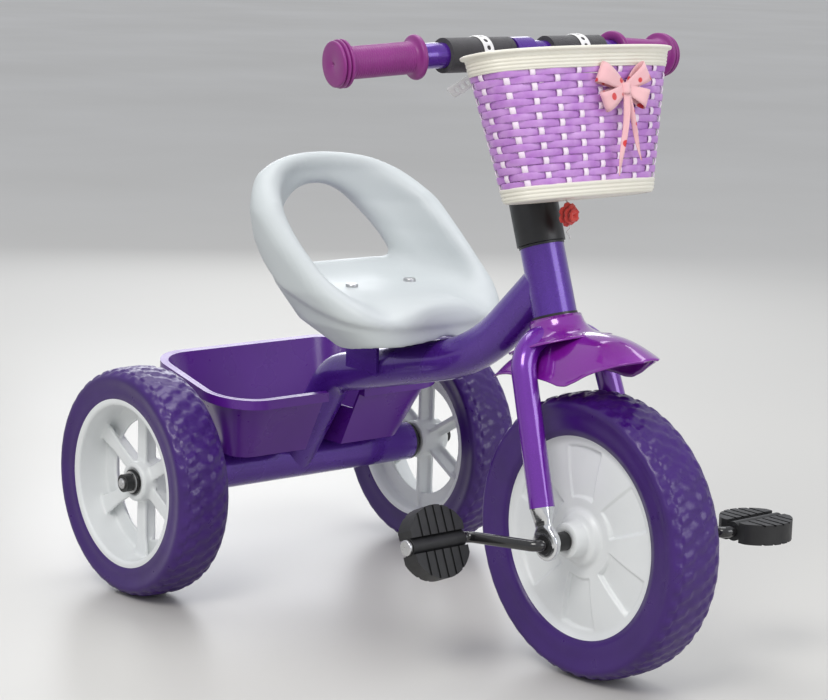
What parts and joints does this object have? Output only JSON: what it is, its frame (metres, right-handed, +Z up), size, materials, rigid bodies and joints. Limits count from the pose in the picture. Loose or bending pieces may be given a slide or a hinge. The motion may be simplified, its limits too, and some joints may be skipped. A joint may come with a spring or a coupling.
{
  "type": "children's tricycle",
  "caption": "Child's pedal tricycle with a steered front wheel, fender, bucket seat, rear crate, handlebar grips and a woven front basket.",
  "frame": {"origin": "ground level under the middle of the part's bounding box, between the two rear wheels and the front wheel", "axes": "+X forward, towards the front wheel; +Y the rider's left; +Z up"},
  "size_m": [0.67, 0.4138, 0.5496],
  "materials": {
    "tyre": "matte foamed rubber with a block tread",
    "frame_paint": "metallic gloss paint",
    "fork_paint": "high gloss paint",
    "chrome": "plated",
    "steel": "zinc plated",
    "black_plastic": "moulded satin",
    "black_paint": "satin paint",
    "white_plastic": "moulded gloss",
    "crate_plastic": "moulded semi-gloss",
    "seat_plastic": "blow-moulded satin",
    "grip_rubber": "soft ribbed",
    "foam": "closed-cell foam",
    "basket_ivory": "moulded satin",
    "basket_lilac": "woven plastic strip",
    "strap_white": "soft perforated strap",
    "ribbon": "dotted ribbon",
    "rosette": "red felt"
  },
  "bodies": {
    "frame": {"head_tube": "frame_paint", "head_bush_lower": "black_plastic", "head_bush_upper": "black_plastic", "main_beam": "frame_paint", "rear_axle_tube": "frame_paint", "rear_axle_plugs": "black_plastic", "rear_axle_rod": "steel", "rear_axle_washers": "steel", "rear_axle_nuts": "black_plastic", "seat_bracket": "frame_paint", "seat": "seat_plastic", "seat_bolts": "steel", "seat_nuts": "steel", "crate": "crate_plastic", "crate_screws": "steel"},
    "steering": {"fork_crown": "fork_paint", "fork_leg_right": "fork_paint", "fork_leg_left": "fork_paint", "dropout_right": "chrome", "dropout_left": "chrome", "front_bush_right": "black_plastic", "front_bush_left": "black_plastic", "fender": "fork_paint", "stem_sleeve": "black_plastic", "stem": "frame_paint", "handlebar": "frame_paint", "grip_right": "grip_rubber", "grip_left": "grip_rubber", "foam_right": "foam", "foam_left": "foam", "basket_rim": "basket_ivory", "basket_weave": "basket_lilac", "basket_base": "basket_ivory", "strap_right": "strap_white", "strap_left": "strap_white", "bow": "ribbon", "ribbon_rosette": "rosette"},
    "front_wheel": {"front_tyre": "tyre", "front_disc_right": "white_plastic", "front_disc_left": "white_plastic", "crank_axle": "black_paint", "pedal_cap_right": "steel", "pedal_cap_left": "steel"},
    "right_pedal": {"pedal_right": "black_plastic"},
    "left_pedal": {"pedal_left": "black_plastic"},
    "rear_right_wheel": {"rear_tyre_right": "tyre", "rear_wheel_right": "white_plastic", "rear_wheel_bushes_right": "black_plastic"},
    "rear_left_wheel": {"rear_tyre_left": "tyre", "rear_wheel_left": "white_plastic", "rear_wheel_bushes_left": "black_plastic"}
  },
  "joints": [
    {"name": "steer", "type": "hinge", "parent": "frame", "child": "steering", "pos_m": [0.21, 0, 0.125], "axis": [-0.3256, 0, 0.9455], "range_deg": [-45, 45]},
    {"name": "front_wheel_spin", "type": "hinge", "parent": "steering", "child": "front_wheel", "pos_m": [0.21, 0, 0.125], "axis": [0, 1, 0], "continuous": true},
    {"name": "right_pedal_spin", "type": "hinge", "parent": "front_wheel", "child": "right_pedal", "pos_m": [0.14209, -0.127, 0.12144], "axis": [0, 1, 0], "continuous": true},
    {"name": "left_pedal_spin", "type": "hinge", "parent": "front_wheel", "child": "left_pedal", "pos_m": [0.27791, 0.127, 0.12856], "axis": [0, 1, 0], "continuous": true},
    {"name": "rear_right_spin", "type": "hinge", "parent": "frame", "child": "rear_right_wheel", "pos_m": [-0.2255, -0.1785, 0.1095], "axis": [0, 1, 0], "continuous": true},
    {"name": "rear_left_spin", "type": "hinge", "parent": "frame", "child": "rear_left_wheel", "pos_m": [-0.2255, 0.1785, 0.1095], "axis": [0, 1, 0], "continuous": true}
  ]
}
